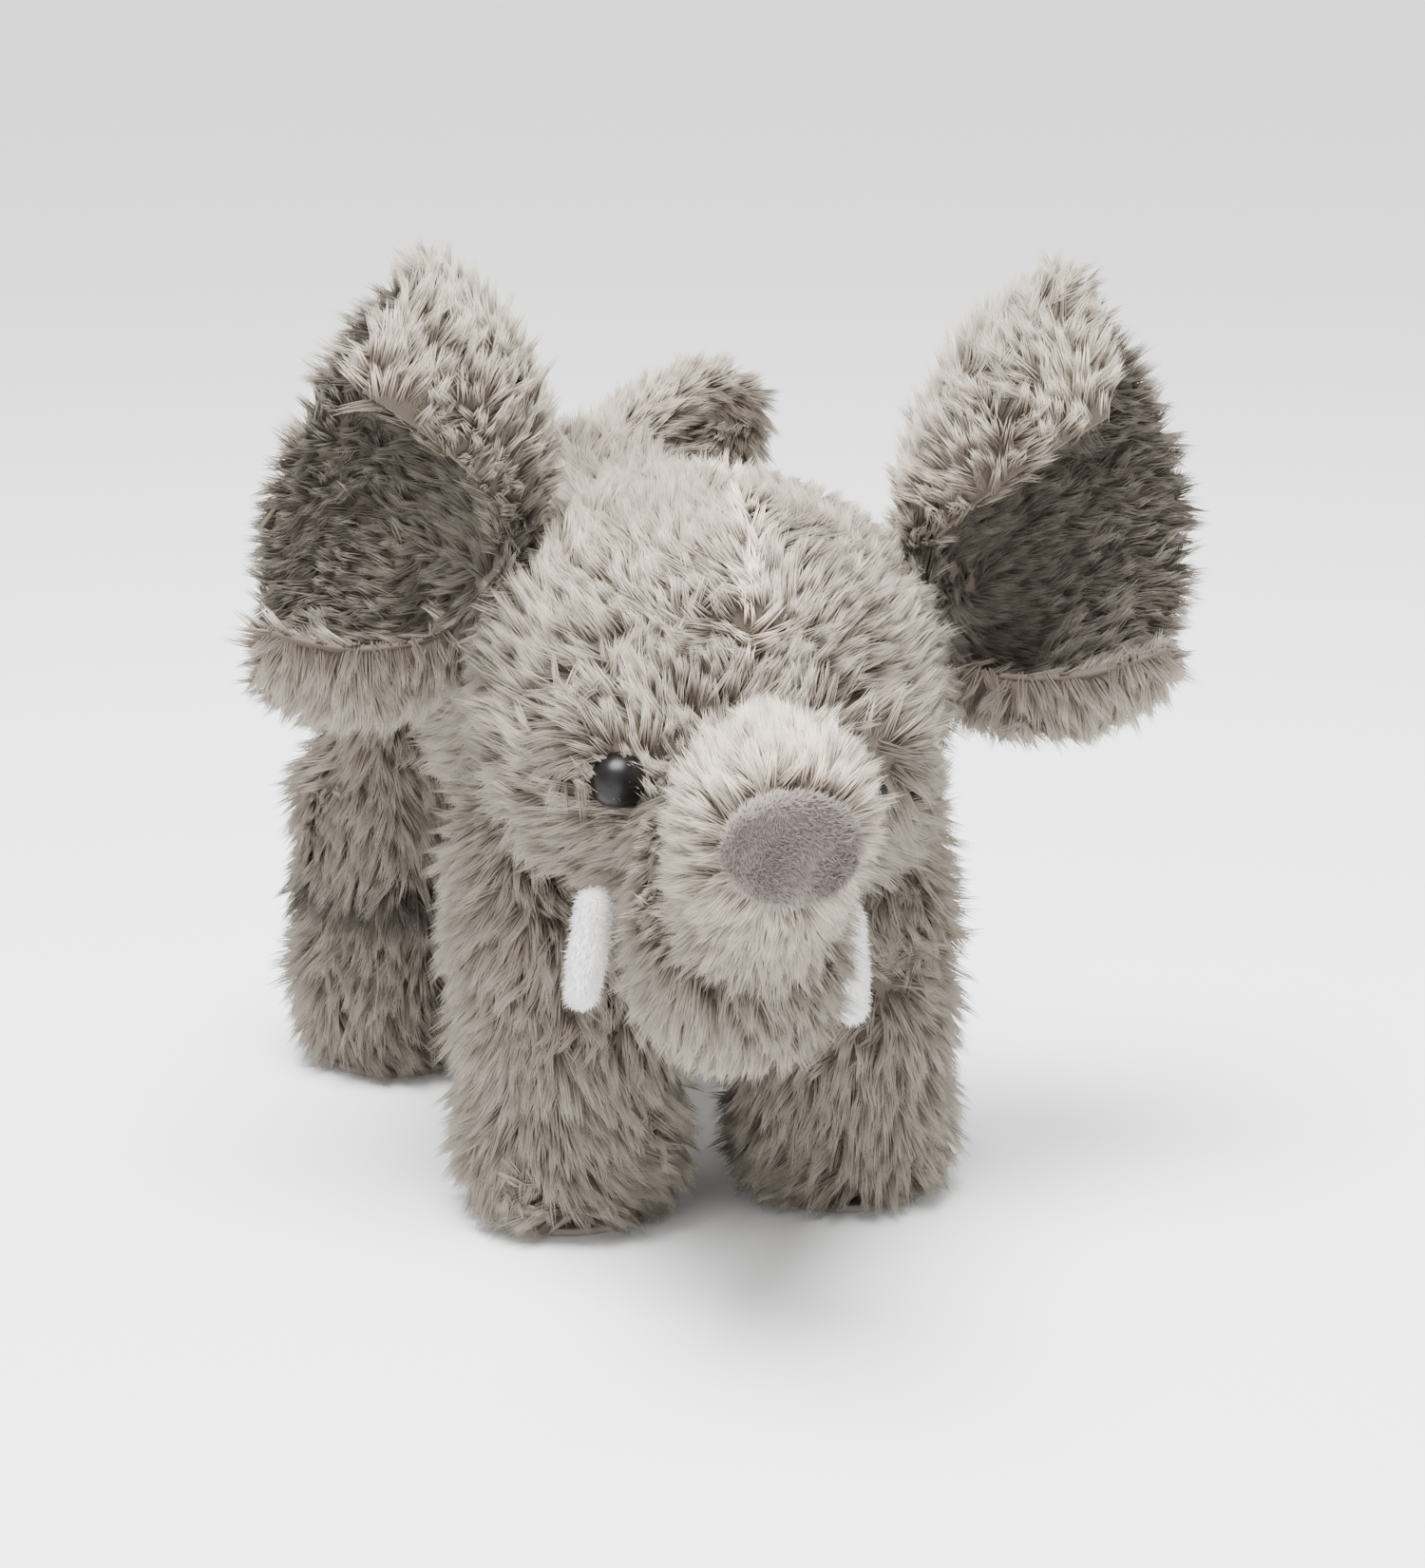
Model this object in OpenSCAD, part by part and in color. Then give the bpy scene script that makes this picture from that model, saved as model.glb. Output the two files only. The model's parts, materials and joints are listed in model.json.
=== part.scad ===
// Small standing stuffed elephant: sewn pile-fabric panels over fibre filling.
// Frame: +Z up, -Y is the elephant's front, +X its own left, origin on the floor under the torso.

/* [Torso] */
// Half the torso's width and height
torso_radius = 41.5; // [36:0.5:46]
// Half the torso's length
torso_half_length = 60; // [52:1:68]
// Radius of the rounded chest between the front legs
chest_radius = 28; // [24:0.5:30]
// Height of the torso's middle line above the floor
torso_height = 87.5; // [80:0.5:95]
// Half angle of the belly gusset, seen from the front
gusset_angle = 38; // [25:1:50]

/* [Head] */
// Half the head's width
head_half_width = 45; // [40:0.5:48]
// Half the head's height and depth
head_radius = 40.5; // [36:0.5:44]
// Radius of the rounded muzzle under the face
muzzle_radius = 26; // [22:0.5:29]
// How far the head is turned to its own right at rest, degrees
head_yaw = 8; // [0:1:14]
// How far the head leans to its own left at rest, degrees
head_roll = 6; // [0:1:10]
// Half the distance between the eyes
eye_offset = 20; // [16:0.5:24]
// Radius of an eye's dome
eye_radius = 4.8; // [3.5:0.1:6]
// Length of a tusk past the cheek
tusk_length = 19; // [14:1:24]
// Radius of a tusk
tusk_radius = 3.9; // [3:0.1:5]

/* [Trunk] */
// Radius of the trunk where it leaves the face, between the eyes
trunk_root_radius = 13; // [11:0.1:13.2]
// Radius of the trunk at its lowest bend
trunk_radius = 19.8; // [16:0.1:22]
// Radius of the trunk's raised end
trunk_end_radius = 17; // [14:0.1:19]
// Radius of the short-pile pad on the trunk's end
pad_radius = 11.5; // [9:0.5:14]

/* [Ears] */
// Thickness of each ear panel with its pile
ear_panel = 5.5; // [4:0.5:7]
// Left ear: length from the root to the lower corner, before its rounding
ear_left_low = 54; // [48:1:60]
// Left ear: length from the root to the outer edge
ear_left_middle = 53; // [46:1:58]
// Left ear: length from the root to the tip, before its rounding
ear_left_tip = 80; // [70:1:84]
// Right ear: length from the root to the lower corner, before its rounding
ear_right_low = 47; // [42:1:54]
// Right ear: length from the root to the outer edge
ear_right_middle = 44; // [40:1:52]
// Right ear: length from the root to the tip, before its rounding
ear_right_tip = 65; // [56:1:72]

/* [Tail] */
// Radius of the tail with its pile
tail_radius = 7.5; // [5:0.5:9]

/* [Legs] */
// Radius of a front leg
front_leg_radius = 23; // [20:0.5:24]
// Radius of a rear leg
rear_leg_radius = 22.5; // [20:0.5:24]
// Height at which a front leg bends
front_leg_bend = 38; // [33:0.5:41]
// Height at which a rear leg bends
rear_leg_bend = 49; // [43:0.5:53]
// Radius of a sole pad
sole_radius = 19; // [16:0.5:20]

/* [Hidden] */
pile = 6;
gap = 0.4;
seam = 0.2;
torso_y = 16;
chest_at = [0, -19, 72];
head_at = [0, -46, 98.5];
muzzle_at = [0, -24, -17];
neck_radius = 14;
eye_y = -36;
eye_z = -10.5;
shank_radius = 1.6;
shank_length = 14;
washer_radius = 4.5;
washer_thick = 1.2;
trunk_root = [0, -32, -17];
trunk_bend = [-1, -55, -34];
trunk_tip = [-3, -80, -3];
trunk_wall = 6;
pad_thick = 3;
lift_min = -6;
lift_max = 12;
curl_min = -10;
curl_max = 20;
ear_root_half = 16;
ear_root_tilt = -20;
ear_curl = 85;
ear_bulge = 6;
ear_swell = 6;
ear_trim = 0.25;
ear_round = 0.96;
ear_rows = 15;
ear_cols = 7;
ear_fold = 10;
tusk_root = [22, -34, -30];
sole_thick = 1.5;
foot_round = 5;
fit = 0.1;
soft_step = 12;
dome_step = 15;
sweep_gap = 1;
tail_lean = 2.8;
head_gap = 1.2;
pile_grey = [0.62, 0.585, 0.54];
pile_dark = [0.52, 0.49, 0.455];
stuffing = [0.93, 0.92, 0.9];
tusk_white = [0.95, 0.94, 0.92];
pad_grey = [0.55, 0.49, 0.46];
eye_black = [0.04, 0.04, 0.045];
clear_plastic = [0.85, 0.86, 0.87];
row_shift = [-10, 32.5, 0];
$fn = 96;

front_left_at = [26.5, -43, front_leg_bend];
front_right_at = [-24, -39, front_leg_bend];
rear_left_at = [36, 52, rear_leg_bend];
rear_right_at = [-36, 52, rear_leg_bend];

tail_route = [[6, 60, 115.5], [14, 64, 122.5], [25, 68, 128.5], [35, 70, 132],
              [42, 69, 129], [43, 66, 123], [40, 64, 118]];

// ---- vectors ----
function unit(v) = v / norm(v);
function mix(a, b, t) = a * (1 - t) + b * t;
function spline(p, i, t) =
  let (n = len(p) - 1,
       a = p[max(i - 1, 0)], b = p[i], c = p[min(i + 1, n)], d = p[min(i + 2, n)])
  0.5 * (2 * b + (c - a) * t + (2 * a - 5 * b + 4 * c - d) * t * t
         + (3 * b - a - 3 * c + d) * t * t * t);

// ---- shared shapes ----
module place() {
  // Sizes are laid out about the torso's middle; the row's origin is the box's middle.
  translate(row_shift) children();
}
module spindle(radius, half, inset = 0) {
  // Solid of revolution about X with an elliptical outline.
  outline = [for (a = [0 : soft_step : 180])
    [max((radius - inset) * sin(a), 0), (half - inset) * cos(a)]];
  rotate([0, 90, 0]) rotate_extrude() polygon(outline);
}
module head_frame() {
  translate(head_at) rotate([0, head_roll, -head_yaw]) children();
}
module finger(a, b, radius, far_radius = 0) {
  // Round rod with a dome at each end, turned as one solid; far_radius widens its far end.
  d = b - a;
  length = norm(d);
  wide = max(radius, far_radius);
  near_end = [for (q = [-90 : dome_step : 0]) [max(radius * cos(q), 0), radius * sin(q)]];
  far_end = [for (q = [0 : dome_step : 90]) [max(wide * cos(q), 0), length + wide * sin(q)]];
  translate(a)
    rotate([0, acos(d[2] / length), atan2(d[1], d[0])])
      rotate_extrude() polygon(concat(near_end, far_end));
}
module pitch(at, angle) {
  translate(at) rotate([angle, 0, 0]) translate(-at) children();
}

// ---- torso ----
module torso_shape(inset = 0) {
  translate([0, torso_y, torso_height])
    rotate([0, 0, 90]) spindle(torso_radius, torso_half_length, inset);
  translate(chest_at) sphere(chest_radius - inset);
}
module torso_clearance() {
  // Room for the head, the leg tops and the tail's root.
  translate(head_at) sphere(head_half_width + head_gap);
  for (at = [front_left_at, front_right_at])
    translate(at) sphere(front_leg_radius + gap);
  for (at = [rear_left_at, rear_right_at])
    translate(at) sphere(rear_leg_radius + gap);
  translate(tail_route[0]) sphere(tail_radius + tail_lean);
}
module torso_cloth() {
  difference() {
    torso_shape();
    torso_shape(pile);
    torso_clearance();
  }
}
module gusset_wedge(angle, grow) {
  // Wedge along Y below the torso's middle line.
  reach = torso_radius * 2;
  translate([0, torso_y + torso_half_length + 1, torso_height - grow])
    rotate([90, 0, 0])
      linear_extrude(2 * torso_half_length + 2)
        polygon([[0, 0], [reach * sin(angle), -reach * cos(angle)],
                 [-reach * sin(angle), -reach * cos(angle)]]);
}
module torso_side(side) {
  color(pile_grey) place()
    difference() {
      torso_cloth();
      gusset_wedge(gusset_angle, 0);
      translate([side > 0 ? -200 : -seam / 2, -200, 0]) cube([200 + seam / 2, 400, 200]);
    }
}
module torso_left_panel() { torso_side(1); }
module torso_right_panel() { torso_side(-1); }
module belly_gusset() {
  color(pile_dark) place()
    intersection() {
      torso_cloth();
      gusset_wedge(gusset_angle, seam);
    }
}
module torso_fill() {
  color(stuffing) place()
    difference() {
      torso_shape(pile + fit);
      torso_clearance();
    }
}

// ---- head ----
module head_shape(inset = 0) {
  spindle(head_radius, head_half_width, inset);
  translate(muzzle_at) sphere(muzzle_radius - inset);
}
module trunk_clearance() {
  // Widening room for the trunk as it lifts about its root.
  reach = norm(trunk_bend - trunk_root);
  pitch(trunk_root, -(lift_min + lift_max) / 2)
    finger(trunk_root, trunk_bend, trunk_root_radius + sweep_gap,
           trunk_radius + sweep_gap + reach * tan((lift_max - lift_min) / 2));
}
module eye_axis(side) {
  // From the eye's surface towards the head's middle.
  translate([side * eye_offset, eye_y, eye_z])
    rotate([0, 0, side * 24]) rotate([90, 0, 0]) children();
}
module shank_hole(side) {
  eye_axis(side) translate([0, 0, -shank_length])
    cylinder(r = shank_radius + fit, h = shank_length + 8);
}
module head_side(side) {
  color(pile_grey) place()
    head_frame()
      difference() {
        head_shape();
        head_shape(pile);
        trunk_clearance();
        shank_hole(side);
        translate([side > 0 ? -100 : -seam / 2, -100, -100]) cube([100 + seam / 2, 200, 200]);
      }
}
module head_left_panel() { head_side(1); }
module head_right_panel() { head_side(-1); }
module head_fill() {
  color(stuffing) place()
    head_frame()
      difference() {
        head_shape(pile + fit);
        trunk_clearance();
        sphere(neck_radius + gap);
        for (side = [-1, 1]) {
          shank_hole(side);
          eye_axis(side) translate([0, 0, -shank_length - 1])
            cylinder(r = washer_radius + fit, h = shank_length - 1);
        }
      }
}
module neck_fill() {
  color(stuffing) place() translate(head_at) sphere(neck_radius);
}
module eye(side) {
  color(eye_black) place()
    head_frame() {
      eye_axis(side) {
        difference() {
          translate([0, 0, 0.8]) sphere(eye_radius);
          translate([0, 0, -9.5]) cube([20, 20, 19], center = true);
        }
        translate([0, 0, -shank_length + 1]) cylinder(r = shank_radius, h = shank_length);
      }
    }
}
module eye_left() { eye(1); }
module eye_right() { eye(-1); }
module eye_washer(side) {
  color(clear_plastic) place()
    head_frame()
      eye_axis(side) translate([0, 0, -shank_length + 1.2])
        difference() {
          cylinder(r = washer_radius, h = washer_thick);
          translate([0, 0, -1]) cylinder(r = shank_radius + 0.05, h = washer_thick + 2);
        }
}
module eye_washer_left() { eye_washer(1); }
module eye_washer_right() { eye_washer(-1); }
module tusk(side) {
  // Rounded white finger, a little forward of straight down.
  root = [side * tusk_root[0], tusk_root[1], tusk_root[2]];
  point = root + (tusk_length - tusk_radius) * unit([side * 1.5, -5, -14]);
  color(tusk_white) place() head_frame() finger(root, point, tusk_radius);
}
module tusk_left() { tusk(1); }
module tusk_right() { tusk(-1); }

// ---- trunk ----
module trunk_shape(inset = 0) {
  finger(trunk_root, trunk_bend, trunk_root_radius - inset, trunk_radius - inset);
}
module trunk_sleeve() {
  color(pile_grey) place()
    head_frame()
      difference() {
        trunk_shape();
        trunk_shape(trunk_wall);
      }
}
module trunk_fill() {
  color(stuffing) place()
    head_frame() trunk_shape(trunk_wall + fit);
}
module curl_clearance() {
  // Widening room for the lower trunk as the trunk's end curls about the bend.
  reach = norm(trunk_bend - trunk_root);
  pitch(trunk_bend, -(curl_min + curl_max) / 2)
    finger(trunk_bend, trunk_root, trunk_radius + sweep_gap,
           trunk_radius + sweep_gap + reach * tan((curl_max - curl_min) / 2));
}
pad_aim = unit([0.5, -10, -3]);
module pad_frame() {
  translate(trunk_tip)
    rotate([0, acos(pad_aim[2]), atan2(pad_aim[1], pad_aim[0])]) children();
}
module pad_seat(grow = 0) {
  pad_frame() translate([0, 0, trunk_end_radius - pad_thick - 2])
    cylinder(r = pad_radius + grow, h = pad_thick + 4);
}
module trunk_end_sleeve() {
  color(pile_grey) place()
    head_frame()
      difference() {
        finger(trunk_bend, trunk_tip, trunk_end_radius);
        finger(trunk_bend, trunk_tip, trunk_end_radius - trunk_wall);
        curl_clearance();
        pad_seat(fit);
      }
}
module trunk_end_fill() {
  color(stuffing) place()
    head_frame()
      difference() {
        finger(trunk_bend, trunk_tip, trunk_end_radius - trunk_wall - fit);
        curl_clearance();
        pad_seat(fit);
      }
}
module trunk_end_pad() {
  color(pad_grey) place()
    head_frame()
      intersection() {
        pad_seat();
        translate(trunk_tip) sphere(trunk_end_radius);
      }
}

// ---- ears ----
// side, root, sweep back, middle angle, half fan, low, middle and tip lengths, cup depth
ear_left = [1, [40, 8, 15], 14, 27, 52, ear_left_low, ear_left_middle, ear_left_tip, 19];
ear_right = [-1, [-39, 8, 15], 30, 24, 56, ear_right_low, ear_right_middle, ear_right_tip, 20];
function ear_out(e) = [e[0] * cos(e[2]), sin(e[2]), 0];
function ear_front(e) = [e[0] * sin(e[2]), -cos(e[2]), 0];
function ear_axis(e) = [0, 0, cos(ear_root_tilt)] + ear_out(e) * sin(ear_root_tilt);
// Point of the ear's middle surface: s runs -1 to 1 from lower edge to tip, t 0 to 1 outwards.
function ear_point(e, s, t) =
  let (th = s * ear_curl,
       q = sin(th) / sin(ear_curl),
       phi = e[3] + e[4] * q,
       full = e[6] + (e[s > 0 ? 7 : 5] - e[6]) * q * q,
       reach = full * (1 - ear_trim * (1 - sqrt(1 - ear_round * q * q))),
       rim = e[1] + reach * (cos(phi) * ear_out(e) + [0, 0, sin(phi)])
             + ear_front(e) * e[8] * (1 - cos(th)),
       base = e[1] + ear_root_half * sin(th) * ear_axis(e),
       across = [0, 0, cos(phi)] - sin(phi) * ear_out(e))
  mix(base, rim, t) + sin(180 * t) * (across * ear_swell * q * q * q
                                      - ear_front(e) * ear_bulge * cos(th));
function ear_normal(e, s, t) =
  let (d = 0.02, ds = ear_point(e, s + d, t) - ear_point(e, s - d, t),
       dt = ear_point(e, s, t + d) - ear_point(e, s, t - d))
  unit(cross(dt, ds)) * e[0] * -1;
function ear_taper(s, t) = 0.35 + 0.65 * sqrt(max(1 - max(pow(abs(s), 4), pow(t, 8)), 0));
function ear_layer(e, depth) = [for (i = [0 : ear_rows - 1]) for (j = [0 : ear_cols - 1])
  let (s = -1 + 2 * i / (ear_rows - 1), t = j / (ear_cols - 1))
  ear_point(e, s, t) + ear_normal(e, s, t) * depth * (abs(depth) > 1 ? ear_taper(s, t) : 1)];
module slab(top, bottom, rows, cols) {
  // Closed sheet between two grids of points.
  n = rows * cols;
  function at(i, j) = i * cols + j;
  cells = [for (i = [0 : rows - 2]) for (j = [0 : cols - 2]) [i, j]];
  rim = concat([for (j = [0 : cols - 1]) at(0, j)],
               [for (i = [1 : rows - 1]) at(i, cols - 1)],
               [for (j = [cols - 2 : -1 : 0]) at(rows - 1, j)],
               [for (i = [rows - 2 : -1 : 1]) at(i, 0)]);
  m = len(rim);
  faces = concat(
    [for (c = cells) [at(c[0], c[1]), at(c[0] + 1, c[1]), at(c[0] + 1, c[1] + 1)]],
    [for (c = cells) [at(c[0], c[1]), at(c[0] + 1, c[1] + 1), at(c[0], c[1] + 1)]],
    [for (c = cells) [n + at(c[0], c[1]), n + at(c[0] + 1, c[1] + 1), n + at(c[0] + 1, c[1])]],
    [for (c = cells) [n + at(c[0], c[1]), n + at(c[0], c[1] + 1), n + at(c[0] + 1, c[1] + 1)]],
    [for (k = [0 : m - 1]) [rim[k], rim[(k + 1) % m], n + rim[(k + 1) % m]]],
    [for (k = [0 : m - 1]) [rim[k], n + rim[(k + 1) % m], n + rim[k]]]);
  polyhedron(concat(top, bottom), faces);
}
module about(at, axis, angle) {
  translate(at) rotate(angle, axis) translate(-at) children();
}
module ear_panel_solid(e, inner, outer) {
  // One curved panel, cut back where the head lies as the ear folds.
  color(inner > 0 ? pile_dark : pile_grey) place()
    head_frame()
      difference() {
        if (e[0] * outer > 0) slab(ear_layer(e, inner), ear_layer(e, outer), ear_rows, ear_cols);
        else slab(ear_layer(e, outer), ear_layer(e, inner), ear_rows, ear_cols);
        for (a = [-ear_fold, 0, ear_fold])
          about(e[1], ear_axis(e), a) sphere(head_half_width + gap);
      }
}
module ear_left_front() { ear_panel_solid(ear_left, seam / 2, ear_panel); }
module ear_left_back() { ear_panel_solid(ear_left, -seam / 2, -ear_panel); }
module ear_right_front() { ear_panel_solid(ear_right, seam / 2, ear_panel); }
module ear_right_back() { ear_panel_solid(ear_right, -seam / 2, -ear_panel); }

// ---- tail ----
tail_sides = 12;
tail_steps = 3;
tail_line = concat([for (i = [0 : len(tail_route) - 2]) for (k = [0 : tail_steps - 1])
  spline(tail_route, i, k / tail_steps)], [tail_route[len(tail_route) - 1]]);
module tail_sweep(radius, start, stop) {
  // Round tube along the tail's line, narrowed at its end.
  n = len(tail_line) - start - stop;
  rings = [for (i = [start : start + n - 1])
    let (a = tail_line[max(i - 1, start)], b = tail_line[min(i + 1, start + n - 1)],
         d = unit(b - a), u = unit(cross(d, [0, 1, 0.2])), v = cross(d, u),
         r = radius * (i == start + n - 1 ? 0.6 : 1))
    [for (k = [0 : tail_sides - 1])
      let (q = 360 * k / tail_sides) tail_line[i] + r * (cos(q) * u + sin(q) * v)]];
  points = [for (r = rings) for (p = r) p];
  sides = [for (i = [0 : n - 2]) for (k = [0 : tail_sides - 1])
    let (a = i * tail_sides + k, b = i * tail_sides + (k + 1) % tail_sides)
    [b, a, a + tail_sides, b + tail_sides]];
  tris = [for (f = sides) for (h = [0, 1]) h == 0 ? [f[0], f[1], f[2]] : [f[0], f[2], f[3]]];
  ends = [[for (k = [0 : tail_sides - 1]) k],
          [for (k = [tail_sides - 1 : -1 : 0]) (n - 1) * tail_sides + k]];
  polyhedron(points, concat(tris, ends));
}
module tail_sleeve() {
  color(pile_grey) place()
    difference() {
      tail_sweep(tail_radius, 0, 0);
      tail_sweep(tail_radius / 2, 2, 2);
    }
}
module tail_fill() {
  color(stuffing) place() tail_sweep(tail_radius / 2 - fit, 2, 2);
}

// ---- legs ----
module leg_shape(radius, bend, inset = 0) {
  // Plump upright leg: rounded foot, round top about the bend.
  r = radius - inset;
  foot = [for (a = [-90 : dome_step : 0])
    [r - foot_round + foot_round * cos(a), inset + foot_round + foot_round * sin(a)]];
  top = [for (a = [0 : dome_step : 90]) [max(r * cos(a), 0), bend + r * sin(a)]];
  rotate_extrude() polygon(concat([[0, inset]], foot, top));
}
module leg_sleeve(at, radius) {
  color(pile_grey) place()
    translate([at[0], at[1], 0])
      difference() {
        leg_shape(radius, at[2]);
        leg_shape(radius, at[2], pile);
        translate([0, 0, -1]) cylinder(r = sole_radius - foot_round + fit, h = 1 + sole_thick);
      }
}
module leg_stuffing(at, radius) {
  color(stuffing) place() translate([at[0], at[1], 0]) leg_shape(radius, at[2], pile + fit);
}
module leg_sole(at) {
  color(pile_dark) place()
    translate([at[0], at[1], 0]) cylinder(r = sole_radius - foot_round, h = sole_thick - fit);
}
module leg_front_left_sleeve() { leg_sleeve(front_left_at, front_leg_radius); }
module leg_front_left_fill() { leg_stuffing(front_left_at, front_leg_radius); }
module leg_front_left_sole() { leg_sole(front_left_at); }
module leg_front_right_sleeve() { leg_sleeve(front_right_at, front_leg_radius); }
module leg_front_right_fill() { leg_stuffing(front_right_at, front_leg_radius); }
module leg_front_right_sole() { leg_sole(front_right_at); }
module leg_rear_left_sleeve() { leg_sleeve(rear_left_at, rear_leg_radius); }
module leg_rear_left_fill() { leg_stuffing(rear_left_at, rear_leg_radius); }
module leg_rear_left_sole() { leg_sole(rear_left_at); }
module leg_rear_right_sleeve() { leg_sleeve(rear_right_at, rear_leg_radius); }
module leg_rear_right_fill() { leg_stuffing(rear_right_at, rear_leg_radius); }
module leg_rear_right_sole() { leg_sole(rear_right_at); }

// ---- placing ----
torso_left_panel();
torso_right_panel();
belly_gusset();
torso_fill();
neck_fill();
head_left_panel();
head_right_panel();
head_fill();
eye_left();
eye_right();
eye_washer_left();
eye_washer_right();
tusk_left();
tusk_right();
trunk_sleeve();
trunk_fill();
trunk_end_sleeve();
trunk_end_fill();
trunk_end_pad();
ear_left_front();
ear_left_back();
ear_right_front();
ear_right_back();
tail_sleeve();
tail_fill();
leg_front_left_sleeve();
leg_front_left_fill();
leg_front_left_sole();
leg_front_right_sleeve();
leg_front_right_fill();
leg_front_right_sole();
leg_rear_left_sleeve();
leg_rear_left_fill();
leg_rear_left_sole();
leg_rear_right_sleeve();
leg_rear_right_fill();
leg_rear_right_sole();
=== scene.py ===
import json
import math

import bmesh
import bpy
import numpy as np
from mathutils import Matrix, Vector


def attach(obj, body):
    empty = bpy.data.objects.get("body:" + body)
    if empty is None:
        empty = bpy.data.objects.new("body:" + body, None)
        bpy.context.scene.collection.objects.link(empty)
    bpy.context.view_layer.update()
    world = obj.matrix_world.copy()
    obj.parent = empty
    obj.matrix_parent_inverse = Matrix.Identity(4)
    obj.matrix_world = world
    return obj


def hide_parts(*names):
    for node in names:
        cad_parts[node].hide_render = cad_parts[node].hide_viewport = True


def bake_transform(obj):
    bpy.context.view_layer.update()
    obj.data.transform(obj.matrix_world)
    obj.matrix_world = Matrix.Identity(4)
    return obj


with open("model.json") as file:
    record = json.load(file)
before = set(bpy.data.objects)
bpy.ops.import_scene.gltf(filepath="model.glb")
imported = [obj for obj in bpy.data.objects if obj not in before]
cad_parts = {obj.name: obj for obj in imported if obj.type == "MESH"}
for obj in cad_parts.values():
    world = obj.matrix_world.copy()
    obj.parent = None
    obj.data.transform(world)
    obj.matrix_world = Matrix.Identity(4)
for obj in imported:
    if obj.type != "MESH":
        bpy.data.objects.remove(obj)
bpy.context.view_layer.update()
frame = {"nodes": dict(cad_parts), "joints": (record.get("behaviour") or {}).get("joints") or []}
mm = 0.001
joints = {j["name"]: j for j in frame["joints"]}


def unit(v):
    v = np.asarray(v, float)
    return v / np.maximum(np.linalg.norm(v, axis=-1, keepdims=True), 1e-9)


def jointAt(name):
    return np.array(joints[name]["pos_m"])


def jointAxis(name):
    return unit(joints[name]["axis"])


# the head's own frame: x across the eyes, y to the back of the head, z to its crown
headAt = jointAt("head_turn")
headX = jointAxis("head_nod")
headY = unit(np.cross([0, 0, 1], headX))
headZ = np.cross(headX, headY)
headBasis = np.array([headX, headY, headZ])


def fromHead(p):
    return headAt + (np.asarray(p, float) * mm) @ headBasis


def toHead(p):
    return (np.asarray(p, float) - headAt) @ headBasis.T / mm


def headDir(v):
    return unit(np.asarray(v, float) @ headBasis)


trunkRoot = jointAt("trunk_lift")
trunkBend = jointAt("trunk_curl")
trunkTip = fromHead([-3, -80, -3])
tailRoot = jointAt("tail_swing")
legNames = ("front_left", "front_right", "rear_left", "rear_right")
legAt = {n: jointAt("leg_" + n + "_swing") for n in legNames}
torsoAt = np.array([headAt[0], headAt[1] + 62 * mm, 87.5 * mm])  # middle of the torso


# materials
def newMaterial(name):
    mat = bpy.data.materials.new(name)
    mat.use_nodes = True
    tree = mat.node_tree
    return mat, tree, tree.nodes["Principled BSDF"]


def attributeNode(tree, name):
    node = tree.nodes.new("ShaderNodeAttribute")
    node.attribute_name = name
    return node.outputs["Fac"]


def mathNode(tree, operation, a, b):
    node = tree.nodes.new("ShaderNodeMath")
    node.operation = operation
    for socket, value in zip(node.inputs, (a, b)):
        if hasattr(value, "is_linked"):
            tree.links.new(value, socket)
        else:
            socket.default_value = value
    return node.outputs[0]


def mixNode(tree, factor, a, b, blend="MIX"):
    node = tree.nodes.new("ShaderNodeMix")
    node.data_type = "RGBA"
    node.blend_type = blend
    for socket, value in ((node.inputs[0], factor), (node.inputs[6], a), (node.inputs[7], b)):
        if hasattr(value, "is_linked"):
            tree.links.new(value, socket)
        else:
            socket.default_value = value
    return node.outputs[2]


def rangeNode(tree, value, low, high):
    node = tree.nodes.new("ShaderNodeMapRange")
    tree.links.new(value, node.inputs["Value"])
    node.inputs["From Min"].default_value = low
    node.inputs["From Max"].default_value = high
    return node.outputs["Result"]


def newGroup(name, inputs, outputs):
    group = bpy.data.node_groups.new(name, "ShaderNodeTree")
    for label, kind in inputs:
        group.interface.new_socket(label, in_out="INPUT", socket_type=kind)
    for label, kind in outputs:
        group.interface.new_socket(label, in_out="OUTPUT", socket_type=kind)
    return group, group.nodes.new("NodeGroupInput"), group.nodes.new("NodeGroupOutput")


def patchGroup():
    # slow light and dark patches, as where a hand has brushed the pile
    group, given, out = newGroup("brushed patches",
                                 [("Scale", "NodeSocketFloat"), ("Amount", "NodeSocketFloat")],
                                 [("Tone", "NodeSocketFloat")])
    where = group.nodes.new("ShaderNodeTexCoord")
    noise = group.nodes.new("ShaderNodeTexNoise")
    noise.inputs["Detail"].default_value = 2
    group.links.new(where.outputs["Object"], noise.inputs["Vector"])
    group.links.new(given.outputs["Scale"], noise.inputs["Scale"])
    centred = mathNode(group, "SUBTRACT", noise.outputs["Fac"], 0.5)
    spread = mathNode(group, "MULTIPLY", centred, given.outputs["Amount"])
    group.links.new(mathNode(group, "ADD", spread, 1.0), out.inputs["Tone"])
    return group


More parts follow.
